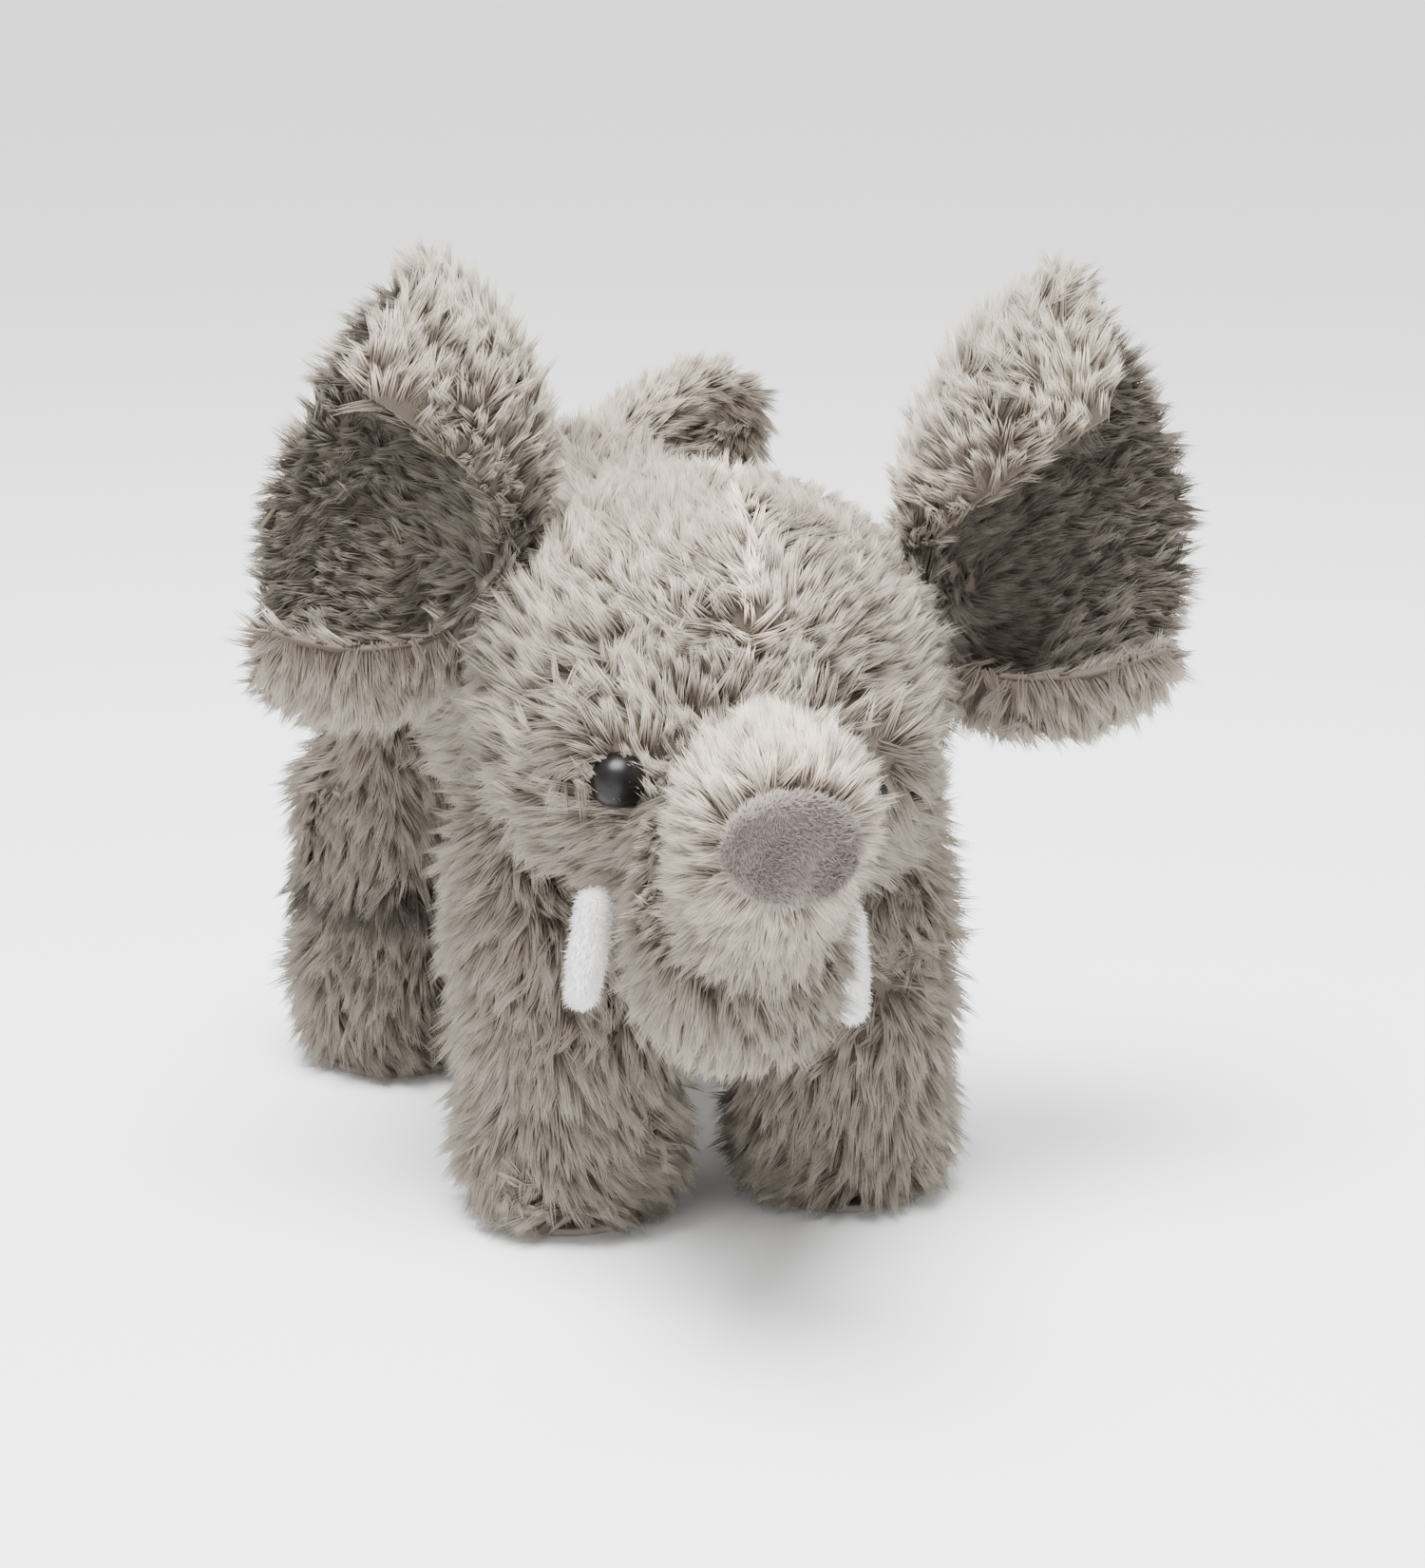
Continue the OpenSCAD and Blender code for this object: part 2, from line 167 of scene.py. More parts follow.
def strandGroup():
    # colour along a strand, from its root to its tip, lighter or darker strand by strand; the dark root
    # colour is painted shade where the strands shade one another, and the pale tip is partly painted light
    # shining through the fibres
    group, given, out = newGroup("strand colour",
                                 [("Root", "NodeSocketColor"), ("Middle", "NodeSocketColor"),
                                  ("Tip", "NodeSocketColor"), ("Vary", "NodeSocketFloat"),
                                  ("Tone", "NodeSocketFloat")],
                                 [("Colour", "NodeSocketColor")])
    along = attributeNode(group, "pile")
    middle = 0.45  # how far along a strand its middle colour lies
    toMiddle = rangeNode(group, along, 0.0, middle)
    toTip = rangeNode(group, along, middle, 1.0)
    lower = mixNode(group, toMiddle, given.outputs["Root"], given.outputs["Middle"])
    upper = mixNode(group, toTip, lower, given.outputs["Tip"])
    own = mathNode(group, "SUBTRACT", attributeNode(group, "shade"), 0.5)
    own = mathNode(group, "ADD", mathNode(group, "MULTIPLY", own, given.outputs["Vary"]), 1.0)
    tone = mathNode(group, "MULTIPLY", own, given.outputs["Tone"])
    grey = group.nodes.new("ShaderNodeCombineColor")
    for k in range(3):
        group.links.new(tone, grey.inputs[k])
    group.links.new(mixNode(group, 1.0, upper, grey.outputs["Color"], "MULTIPLY"), out.inputs["Colour"])
    return group


patches = patchGroup()
strands = strandGroup()


def pileMaterial(name, look):
    mat, tree, shader = newMaterial(name)
    patch = tree.nodes.new("ShaderNodeGroup")
    patch.node_tree = patches
    patch.inputs["Scale"].default_value = look["patchScale"]
    patch.inputs["Amount"].default_value = look["patch"]
    strand = tree.nodes.new("ShaderNodeGroup")
    strand.node_tree = strands
    for key in ("root", "middle", "tip"):
        strand.inputs[key.capitalize()].default_value = (*look[key], 1)
    strand.inputs["Vary"].default_value = look["vary"]
    tree.links.new(patch.outputs["Tone"], strand.inputs["Tone"])
    tree.links.new(strand.outputs["Colour"], shader.inputs["Base Color"])
    shader.inputs["Roughness"].default_value = look["roughness"]
    shader.inputs["Specular IOR Level"].default_value = look["specular"]
    shader.inputs["Sheen Weight"].default_value = look["sheen"]
    shader.inputs["Sheen Roughness"].default_value = 0.5
    shader.inputs["Sheen Tint"].default_value = (*look["tip"], 1)
    return mat


plushLook = {
    # root, middle and tip: the pile's colour, darkened towards the root by painted shade between the strands
    # and lightened towards the tip in part by painted light through the fibres
    "root": (0.062, 0.049, 0.038),
    "middle": (0.175, 0.147, 0.118),
    "tip": (0.42, 0.37, 0.31),
    "patchScale": 40,
    "patch": 0.45,
    "vary": 0.58,
    "roughness": 0.7,
    "specular": 0.25,
    "sheen": 0.3,
}
tuskLook = dict(plushLook, root=(0.74, 0.72, 0.71), middle=(0.84, 0.82, 0.81), tip=(0.90, 0.885, 0.88),
                vary=0.06, patch=0.05)
padLook = dict(plushLook, root=(0.12, 0.098, 0.088), middle=(0.20, 0.168, 0.150), tip=(0.31, 0.268, 0.243),
               vary=0.25)
plush = pileMaterial("plush_pile", plushLook)
tuskCloth = pileMaterial("tusk_short_pile", tuskLook)
padCloth = pileMaterial("pad_short_pile", padLook)
print("materials made")


# skins: smooth closed shapes that the pile grows on
def clearSelection():
    bpy.ops.object.select_all(action="DESELECT")


def makeActive(obj):
    clearSelection()
    obj.select_set(True)
    bpy.context.view_layer.objects.active = obj


def applyModifiers(obj):
    makeActive(obj)
    for modifier in list(obj.modifiers):
        bpy.ops.object.modifier_apply(modifier=modifier.name)


def ball(at, radii, basis=None):
    bpy.ops.mesh.primitive_uv_sphere_add(segments=32, ring_count=20, radius=1)
    obj = bpy.context.object
    turn = Matrix(basis.T.tolist()).to_4x4() if basis is not None else Matrix.Identity(4)
    size = Matrix.Diagonal((radii[0] * mm, radii[1] * mm, radii[2] * mm, 1))
    obj.data.transform(Matrix.Translation(Vector(at)) @ turn @ size)
    return obj


def chain(points, radii, steps):
    # balls along a line of points
    made = []
    for i in range(len(points) - 1):
        for k in range(steps if i < len(points) - 2 else steps + 1):
            t = k / steps
            r = radii[i] * (1 - t) + radii[i + 1] * t
            made.append(ball(np.asarray(points[i]) * (1 - t) + np.asarray(points[i + 1]) * t, (r, r, r)))
    return made


def mergeSkin(name, parts, voxel, smooth):
    makeActive(parts[0])
    for part in parts:
        part.select_set(True)
    bpy.ops.object.join()
    skin = bpy.context.object
    skin.name = name
    skin.data.name = name
    remesh = skin.modifiers.new("one skin", "REMESH")
    remesh.mode = "VOXEL"
    remesh.voxel_size = voxel * mm
    soften = skin.modifiers.new("soften", "SMOOTH")
    soften.factor = 0.5
    soften.iterations = smooth
    applyModifiers(skin)
    return skin


stuffing = {
    "voxel": 4.5,  # mm between the points of the cloth while it is blown out
    "pressure": 60.0,
    "frames": 20,
    "cap": 2.2,  # mm that a point may move
    "seamHold": 0.5,
}


def plump(skin, seam):
    # the cloth is blown out by its filling and held back along its seams
    remesh = skin.modifiers.new("even cloth", "REMESH")
    remesh.mode = "VOXEL"
    remesh.voxel_size = stuffing["voxel"] * mm
    applyModifiers(skin)
    start, normal, _ = meshArrays(skin)
    held = skin.vertex_groups.new(name="seams")
    for k in np.flatnonzero(seam(start) < stuffing["voxel"] * 0.6):
        held.add([int(k)], stuffing["seamHold"], "REPLACE")
    cloth = skin.modifiers.new("filling", "CLOTH")
    cloth.settings.quality = 6
    cloth.settings.use_pressure = True
    cloth.settings.uniform_pressure_force = stuffing["pressure"]
    cloth.settings.effector_weights.gravity = 0
    cloth.settings.vertex_group_mass = "seams"
    cloth.point_cache.frame_end = stuffing["frames"]
    for frameNumber in range(1, stuffing["frames"] + 1):
        bpy.context.scene.frame_set(frameNumber)
    applyModifiers(skin)
    bpy.context.scene.frame_set(1)
    end, _, _ = meshArrays(skin)
    move = end - start
    far = np.linalg.norm(move, axis=1, keepdims=True)
    move *= np.minimum(1, stuffing["cap"] * mm / np.maximum(far, 1e-9))
    skin.data.vertices.foreach_set("co", (start + move).astype(np.float32).ravel())
    skin.vertex_groups.clear()
    finer = skin.modifiers.new("finer", "SUBSURF")
    finer.levels = 1
    finer.render_levels = 1
    applyModifiers(skin)
    print(skin.name, "blown out by up to", round(float(far.max()) / mm, 2), "mm")
    return skin


def splitSkin(skin, planes, names, which):
    # cuts a skin along planes and sorts its faces into named panels
    bm = bmesh.new()
    bm.from_mesh(skin.data)
    for at, normal in planes:
        bmesh.ops.bisect_plane(bm, geom=bm.verts[:] + bm.edges[:] + bm.faces[:],
                               plane_co=Vector(at), plane_no=Vector(normal))
    bm.normal_update()
    panels = {}
    for name in names:
        part = bm.copy()
        part.faces.ensure_lookup_table()
        drop = [f for f in part.faces if which(np.array(f.calc_center_median())) != name]
        bmesh.ops.delete(part, geom=drop, context="FACES")
        mesh = bpy.data.meshes.new(name)
        part.to_mesh(mesh)
        part.free()
        obj = bpy.data.objects.new(name, mesh)
        bpy.context.scene.collection.objects.link(obj)
        panels[name] = obj
    bm.free()
    bpy.data.objects.remove(skin)
    return panels


# pile
def swirl(points, seed, length, count=7):
    # smooth random directions with waves of about the given length in mm
    rng = np.random.default_rng(seed)
    out = np.zeros_like(points)
    for _ in range(count):
        wave = unit(rng.normal(size=3)) * 2 * math.pi / (length * mm * rng.uniform(0.7, 1.5))
        push = unit(rng.normal(size=3))
        out += np.sin(points @ wave + rng.uniform(0, 2 * math.pi))[:, None] * push
    return out / math.sqrt(count / 2)


def meshArrays(obj):
    mesh = obj.data
    mesh.calc_loop_triangles()
    co = np.zeros(len(mesh.vertices) * 3)
    mesh.vertices.foreach_get("co", co)
    co = co.reshape(-1, 3)
    normal = np.zeros(len(mesh.vertices) * 3)
    mesh.vertex_normals.foreach_get("vector", normal)
    tris = np.zeros(len(mesh.loop_triangles) * 3, int)
    mesh.loop_triangles.foreach_get("vertices", tris)
    return co, normal.reshape(-1, 3), tris.reshape(-1, 3)


def scatter(co, normal, tris, perMm2, rng):
    # even random places over a skin, with smooth normals
    a, b, c = co[tris[:, 0]], co[tris[:, 1]], co[tris[:, 2]]
    area = np.linalg.norm(np.cross(b - a, c - a), axis=1) / 2
    total = area.sum() / mm**2
    count = max(int(total * perMm2), 8)
    edges = np.cumsum(area) / area.sum()
    pick = np.searchsorted(edges, (np.arange(count) + rng.uniform(0.1, 0.9, count)) / count)
    pick = np.minimum(pick, len(tris) - 1)
    u = np.sqrt(rng.uniform(size=count))
    v = rng.uniform(size=count)
    w = np.stack([1 - u, u * (1 - v), u * v], 1)
    t = tris[pick]
    at = (co[t] * w[:, :, None]).sum(1)
    n = unit((normal[t] * w[:, :, None]).sum(1))
    return at, n


def tangential(v, n):
    return unit(v - (v * n).sum(1, keepdims=True) * n)


pileLook = {
    "clumps": 0.40,  # per square mm of skin
    "strands": 14,  # per clump
    "length": 9.0,
    "lengthVary": 0.22,
    "spread": 1.15,
    "gather": 0.55,
    "lift": 0.50,  # 0 lies flat, 1 stands up
    "mess": 0.30,
    "swirl": 0.70,
    "swirlLength": 24,
    "tousle": 0.45,
    "tousleLength": 8,
    "thick": 0.19,
    "segments": 1,  # 1 for straight strands, 2 for bowed ones
    "tone": 0.0,
    "clothThick": 0.9,
    "skinTone": 0.12,  # where the cloth itself lies between a strand's root and tip, so it shows the painted root shade between the clumps
}


def strandMesh(root, bow, end, thick, segments, rng):
    # three-sided tapered strands: their points, their faces and how far along each point lies
    axis = unit(end - root)
    u = unit(np.cross(axis, rng.normal(size=axis.shape)))
    v = np.cross(axis, u)
    rings = [(0.0, 1.0), (0.5, 0.85)] if segments == 2 else [(0.0, 1.0)]
    layers = []
    for t, w in rings:
        mid = root * (1 - t) ** 2 + 2 * t * (1 - t) * bow + end * t**2
        for k in range(3):
            q = 2 * math.pi * k / 3
            layers.append(mid + thick * w * (math.cos(q) * u + math.sin(q) * v))
    layers.append(end)
    per = len(layers)
    points = np.stack(layers, 1).reshape(-1, 3)
    faces = []
    for s in range(len(rings) - 1):
        for k in range(3):
            a, b = 3 * s + k, 3 * s + (k + 1) % 3
            faces += [(a, b, b + 3), (a, b + 3, a + 3)]
    last = 3 * (len(rings) - 1)
    for k in range(3):
        faces.append((last + k, last + (k + 1) % 3, per - 1))
    base = np.arange(len(root)) * per
    tris = (base[:, None, None] + np.array(faces)[None]).reshape(-1, 3)
    along = np.tile(np.repeat([t for t, _ in rings] + [1.0], [3] * len(rings) + [1]), len(root))
    return points, tris, along, per


def growPile(skin, seed, comb, look=None, scale=None, keep=None, tint=None, rise=None, floor=0.4):
    # tapered strands in gathered clumps all over a skin
    look = dict(pileLook, **(look or {}))
    rng = np.random.default_rng(seed)
    co, normal, tris = meshArrays(skin)
    at, n = scatter(co, normal, tris, look["clumps"], rng)
    if keep is not None:
        kept = rng.uniform(size=len(at)) < keep(at)
        at, n = at[kept], n[kept]
    count, many = len(at), look["strands"]
    lay = comb(at, n) + look["swirl"] * swirl(at, seed + 1, look["swirlLength"])
    lay = tangential(lay + look["tousle"] * swirl(at, seed + 2, look["tousleLength"]), n)
    length = look["length"] * mm * rng.uniform(1 - look["lengthVary"], 1 + look["lengthVary"], count)
    if scale is not None:
        length = length * scale(at)
    lift = look["lift"] + rng.normal(0, 0.10, count) + (rise(at) if rise is not None else 0)
    lift = np.clip(lift, 0.12, 0.95)[:, None]
    aim = unit(n * lift + lay * np.sqrt(1 - lift**2) + look["mess"] * rng.normal(size=(count, 3)) * 0.6)
    root = np.repeat(at, many, 0)  # every clump's strands
    up = np.repeat(n, many, 0)
    side = unit(np.cross(up, rng.normal(size=up.shape)))
    away = look["spread"] * mm * np.sqrt(rng.uniform(size=len(root)))[:, None]
    root = root + side * away - up * 0.25 * mm
    reach = np.repeat(length, many)[:, None] * rng.uniform(0.75, 1.05, (len(root), 1))
    end = np.repeat(at, many, 0) + np.repeat(aim, many, 0) * reach
    end = end + side * away * look["gather"] + rng.normal(size=root.shape) * 0.25 * mm
    bow = root + up * reach * 0.42 + np.repeat(lay, many, 0) * reach * 0.10
    bow = bow + rng.normal(size=root.shape) * reach * 0.06
    end[:, 2] = np.maximum(end[:, 2], floor * mm)
    bow[:, 2] = np.maximum(bow[:, 2], floor * mm)
    thick = look["thick"] * mm * rng.uniform(0.75, 1.2, (len(root), 1))
    points, strandTris, along, per = strandMesh(root, bow, end, thick, look["segments"], rng)
    clumpShade = np.repeat(rng.uniform(size=count), many)
    shade = clumpShade * 0.6 + rng.uniform(size=len(root)) * 0.4 + look["tone"]
    if tint is not None:
        shade = shade + np.repeat(tint(at), many)
    joinPile(skin, points, strandTris, along, np.repeat(shade, per))
    return skin


def joinPile(skin, points, strandTris, along, shade):
    # the skin gets a cloth's thickness and is put with its strands in one mesh
    cloth = skin.modifiers.new("cloth", "SOLIDIFY")
    cloth.thickness = pileLook["clothThick"] * mm
    cloth.offset = -1
    applyModifiers(skin)
    co, _, tris = meshArrays(skin)
    first = len(co)
    allPoints = np.concatenate([co, points])
    allTris = np.concatenate([tris, strandTris + first])
    mesh = bpy.data.meshes.new(skin.name)
    mesh.vertices.add(len(allPoints))
    mesh.vertices.foreach_set("co", allPoints.astype(np.float32).ravel())
    mesh.loops.add(len(allTris) * 3)
    mesh.loops.foreach_set("vertex_index", allTris.astype(np.int32).ravel())
    mesh.polygons.add(len(allTris))
    mesh.polygons.foreach_set("loop_start", np.arange(0, len(allTris) * 3, 3, dtype=np.int32))
    mesh.polygons.foreach_set("use_smooth", np.ones(len(allTris), bool))
    mesh.update(calc_edges=True)
    for name, skinValue, values in (("pile", pileLook["skinTone"], along), ("shade", 0.5, shade)):
        layer = mesh.attributes.new(name, "FLOAT", "POINT")
        every = np.concatenate([np.full(first, skinValue), values])
        layer.data.foreach_set("value", every.astype(np.float32))
    old = skin.data
    skin.data = mesh
    bpy.data.meshes.remove(old)


def setMaterial(obj, mat):
    obj.data.materials.clear()
    obj.data.materials.append(mat)


def plushPiece(obj, nodes, mat=None):
    setMaterial(obj, mat or plush)
    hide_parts(*nodes)
    print(obj.name, len(obj.data.polygons), "faces")


def distance(p, at):
    return np.linalg.norm(np.asarray(p) - at, axis=-1) / mm


def lineDistance(p, a, b):
    # mm from points to the line between a and b
    along = np.clip(((p - a) @ (b - a)) / ((b - a) @ (b - a)), 0, 1)
    return np.linalg.norm(p - a - along[:, None] * (b - a), axis=1) / mm


# head
head = {
    "radii": (39.5, 35.5, 35.0),
    "muzzle": (0, -21, -17),
    "muzzleRadii": (25, 18, 19),
    "cheek": (19, -14, -13),
    "cheekRadii": (18, 19, 18),
    "brow": (0, -11, 12),
    "browRadii": (28, 24, 22),
    "lid": (22, -31.5, -2.5),
    "lidRadii": (10, 6.5, 6),
    "socket": (20, -31, -10.5),  # the fabric pulled up around each eye
    "socketRadii": (10.5, 7.0, 9.5),
    "voxel": 2.2,
    "smooth": 6,
    "length": 8.5,
    "lift": 0.46,
    "flowFrom": (0, -40, -14),  # the pile is combed away from here, behind the trunk
    "partWidth": 2.0,  # half the width of the pale line on the forehead
    "partPush": 0.3,
    "partTone": 2.4,
    "partRise": 0.2,
    "foreheadTone": 0.35,
    "eye": (20, -38, -10.5),
    "eyeFlow": 10,  # how far round an eye the pile turns aside
    "eyeBare": 3.3,
    "eyeLength": 0.62,
}
eyeAt = {s: fromHead([s * head["eye"][0], *head["eye"][1:]]) for s in (-1, 1)}


def headSeam(p):
    return np.abs(toHead(p)[:, 0])


def eyeDistance(p):
    return np.minimum(distance(p, eyeAt[-1]), distance(p, eyeAt[1]))


def onForehead(local):
    return np.clip((local[:, 2] - 4) / 10, 0, 1) * (local[:, 1] < 14)


def onPart(local):
    return np.exp(-(local[:, 0] / (head["partWidth"] * 0.6)) ** 2) * onForehead(local)


def foreheadShare(local):
    return np.clip((local[:, 2] - 4) / 14, 0, 1)


def headComb(p, n):
    local = toHead(p)
    away = unit(local - np.array(head["flowFrom"]))
    parted = np.exp(-(local[:, 0] / 3.5) ** 2) * onForehead(local) * head["partPush"]
    away[:, 0] += np.sign(local[:, 0]) * parted
    overEye = np.exp(-(eyeDistance(p) / head["eyeFlow"]) ** 2) * 1.8
    above = local[:, 2] > -10
    away[:, 0] += np.sign(local[:, 0]) * overEye * np.where(above, 0.7, 1.0)
    away[:, 2] -= overEye * np.where(above, 0.9, -0.3)
    return unit(away) @ headBasis


def headLength(p):
    local = toHead(p)
    forehead = foreheadShare(local) * (local[:, 1] < 10)
    seam = 1 - 0.12 * np.exp(-(local[:, 0] / head["partWidth"]) ** 2) * onForehead(local)
    eye = np.clip((eyeDistance(p) - 1.0) / 6, head["eyeLength"], 1)
    return seam * eye * (1 - 0.28 * forehead)


def headKeep(p):
    local = toHead(p)
    hidden = (local[:, 1] > 26) | (distance(p, trunkRoot) < 10)
    return np.where(hidden, 0.3, 1.0) * np.where(eyeDistance(p) < head["eyeBare"], 0.0, 1.0)


def headTint(p):
    local = toHead(p)
    return foreheadShare(local) * head["foreheadTone"] + head["partTone"] * onPart(local)


def headRise(p):
    return head["partRise"] * onPart(toHead(p))


parts = [ball(headAt, head["radii"], headBasis)]
parts.append(ball(fromHead(head["muzzle"]), head["muzzleRadii"], headBasis))
parts.append(ball(fromHead(head["brow"]), head["browRadii"], headBasis))
for s in (-1, 1):
    for key in ("cheek", "lid", "socket"):
        at = fromHead([s * head[key][0], *head[key][1:]])
        parts.append(ball(at, head[key + "Radii"], headBasis))
headSkin = plump(mergeSkin("head", parts, head["voxel"], head["smooth"]), headSeam)
panels = splitSkin(headSkin, [(headAt, headX)], ["head_left", "head_right"],
                   lambda c: "head_left" if toHead(c)[0] > 0 else "head_right")
for k, side in enumerate(("left", "right")):
    piece = panels["head_" + side]
    growPile(piece, 11 + k, headComb, {"length": head["length"], "lift": head["lift"]}, headLength, headKeep,
             headTint, headRise)
    plushPiece(piece, ["head_" + side + "_panel"])
    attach(piece, "head")


# trunk
trunk = {
    "rootRadius": 15.0,
    "bendRadius": 15.5,
    "endRadius": 11.5,
    "tipRadius": 12.5,
    "padRadius": 10.5,
    "length": 7.5,
    "endLength": 6.5,
    "lift": 0.55,
    "endHighlight": 1.7,  # painted highlight: the raised end is paler towards its tip, where it faces up to the light
}
downTrunk = unit(trunkBend - trunkRoot)
upTrunk = unit(trunkTip - trunkBend)
trunkLength = np.linalg.norm(trunkBend - trunkRoot)
endLength = np.linalg.norm(trunkTip - trunkBend)


def trunkComb(p, n):
    t = np.clip(((p - trunkRoot) @ downTrunk) / trunkLength, 0, 1)[:, None]
    return unit(downTrunk * (1 - t) + (upTrunk * 0.3 + np.array([0, 0, -0.6])) * t)


def trunkKeep(p):
    return np.where(lineDistance(p, trunkBend, trunkTip) < 11, 0.0, 1.0)


parts = chain([trunkRoot, trunkBend], [trunk["rootRadius"], trunk["bendRadius"]], 5)
piece = plump(mergeSkin("trunk", parts, 1.8, 6), headSeam)
growPile(piece, 21, trunkComb, {"length": trunk["length"], "lift": trunk["lift"]}, None, trunkKeep)
plushPiece(piece, ["trunk_sleeve"])
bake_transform(piece)

padAim = headDir([0.5, -10, -3])
padAt = trunkTip + padAim * (trunk["tipRadius"] + 0.6) * mm


def trunkEndComb(p, n):
    return unit(p - padAt) - padAim * 0.2


def trunkEndKeep(p):
    underPad = distance(p, padAt) < trunk["padRadius"] - 1.0
    inBend = distance(p, trunkBend) < 15.8
    return np.where(underPad | inBend, 0.0, 1.0)


# painted highlight, paler towards the tip of the raised end where it faces the light from above
def trunkEndHighlight(p):
    return trunk["endHighlight"] * np.clip(((p - trunkBend) @ upTrunk) / endLength - 0.3, 0, 0.8)


parts = chain([trunkBend, trunkBend * 0.35 + trunkTip * 0.65, trunkTip],
              [trunk["endRadius"] - 0.5, trunk["endRadius"], trunk["tipRadius"]], 4)
piece = mergeSkin("trunk_end", parts, 1.6, 5)
endPile = {"length": trunk["endLength"], "lift": trunk["lift"], "clumps": 0.6, "swirl": 0.35}
growPile(piece, 22, trunkEndComb, endPile, None, trunkEndKeep, trunkEndHighlight)
plushPiece(piece, ["trunk_end_sleeve"])
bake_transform(piece)

shortPile = {"clumps": 9, "strands": 1, "segments": 1, "spread": 0.3, "mess": 0.4, "swirl": 0.4}
padBasis = np.array([headDir([1, 0, 0]), np.cross(padAim, headDir([1, 0, 0])), padAim])
padRadii = (trunk["padRadius"], trunk["padRadius"] * 0.9, 4.0)
piece = mergeSkin("trunk_end_pad_cloth", [ball(padAt - padAim * 1.8 * mm, padRadii, padBasis)], 0.9, 3)
growPile(piece, 23, lambda p, n: n * 0 + padBasis[0] * 0.3,
         dict(shortPile, length=1.5, lift=0.75, thick=0.16))
plushPiece(piece, ["trunk_end_pad"], padCloth)
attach(piece, "trunk_end")


# tusks
tusk = {"root": (21.5, -33.5, -33), "aim": (1.5, -5, -14), "length": 14.5, "radii": (3.0, 3.15, 2.7)}
for s, side in ((1, "left"), (-1, "right")):
    root = fromHead([s * tusk["root"][0], *tusk["root"][1:]])
    aim = headDir([s * tusk["aim"][0], *tusk["aim"][1:]])
    line = [root, root + aim * tusk["length"] * 0.6 * mm, root + aim * tusk["length"] * mm]
    piece = mergeSkin("tusk_" + side + "_cloth", chain(line, tusk["radii"], 4), 0.7, 3)
    growPile(piece, 31 + s, lambda p, n, aim=aim: n * 0 + aim,
             dict(shortPile, clumps=10, length=1.1, lift=0.55, thick=0.13))
    plushPiece(piece, ["tusk_" + side], tuskCloth)
    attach(piece, "head")


# ears
# sweep: degrees that an ear lies back; middle and fan: degrees of its middle line and of its half spread;
# low, reach and tip: mm from its root to its bottom, middle and top
earShape = {
    "left": {"side": 1, "sweep": 14, "middle": 34, "fan": 47, "low": 42, "reach": 53, "tip": 66},
    "right": {"side": -1, "sweep": 30, "middle": 22, "fan": 58, "low": 43, "reach": 42, "tip": 57},
}
ear = {
    "rootHalf": 15,
    "curl": 130,  # how far the two edges roll forward, in degrees
    "cup": 18,  # how far forward the rim stands
    "bulge": 12,
    "swell": 6,
    # painted shade darkening the pile in the front hollow of each ear, where little light reaches
    "hollowShade": -0.9,
    "edgeTone": 0.45,  # the rolled edges catch more light
    "trim": 0.38,
    "thick": 2.8,
    "rows": 41,
    "cols": 21,
    "length": 7.0,
    "hollowLength": 5.5,
    "lift": 0.48,
    "swirl": 0.5,
}


def earPoint(name, s, t):
    # a point of an ear's middle surface in the head's frame, in mm
    e = earShape[name]
    sweep = math.radians(e["sweep"])
    out = np.array([e["side"] * math.cos(sweep), math.sin(sweep), 0])
    front = np.array([e["side"] * math.sin(sweep), -math.cos(sweep), 0])
    root = toHead(jointAt("ear_" + name + "_fold"))
    axis = toHead(headAt + jointAxis("ear_" + name + "_fold") * mm)
    th = s * math.radians(ear["curl"])
    q = math.sin(th)
    phi = math.radians(e["middle"]) + math.radians(e["fan"]) * q
    full = e["reach"] + ((e["tip"] if s > 0 else e["low"]) - e["reach"]) * q * q
    reach = full * (1 - ear["trim"] * (1 - math.sqrt(1 - 0.98 * s * s)))
    up = np.array([0, 0, math.sin(phi)])
    rim = root + reach * (math.cos(phi) * out + up) + front * ear["cup"] * (1 - math.cos(th))
    base = root + ear["rootHalf"] * q * axis + front * 2.5 * (1 - math.cos(th))
    across = np.array([0, 0, math.cos(phi)]) - math.sin(phi) * out
    bend = math.sin(math.pi * t)
    hollow = across * ear["swell"] * q**3 - front * ear["bulge"] * max(math.cos(th), -0.2)
    return base * (1 - t) + rim * t + bend * hollow


def earGrid(name):
    # the middle surface, its normals and how near each point is to the ear's edge
    rows, cols = ear["rows"], ear["cols"]
    sValues = np.linspace(-1, 1, rows)
    tValues = np.sin(np.linspace(-0.14, 1, cols) * math.pi / 2)  # closer together towards the outer edge
    grid = np.array([[earPoint(name, s, t) for t in tValues] for s in sValues])
    n = unit(np.cross(np.gradient(grid, axis=1), np.gradient(grid, axis=0))) * earShape[name]["side"]
    topAndBottom = np.clip(1 - np.abs(sValues[:, None]) ** 5, 0, 1)
    outer = np.clip(1 - np.abs(tValues[None]) ** 7, 0, 1)
    roundEdge = np.sqrt(topAndBottom * outer)
    return grid, n, roundEdge, sValues, tValues


def earSheet(name, label, side):
    # one panel of an ear: the front (side 1) or the back (side -1) of a thin closed cushion
    rows, cols = ear["rows"], ear["cols"]
    grid, n, roundEdge, _, _ = earGrid(name)
    world = fromHead((grid + n * side * ear["thick"] * roundEdge[:, :, None]).reshape(-1, 3))
    quads = []
    for i in range(rows - 1):
        for j in range(cols - 1):
            a = i * cols + j
            quad = (a, a + 1, a + cols + 1, a + cols)
            quads.append(quad if (side > 0) == (earShape[name]["side"] > 0) else quad[::-1])
    mesh = bpy.data.meshes.new(label)
    mesh.from_pydata(world.tolist(), [], quads)
    obj = bpy.data.objects.new(label, mesh)
    bpy.context.scene.collection.objects.link(obj)
    return obj


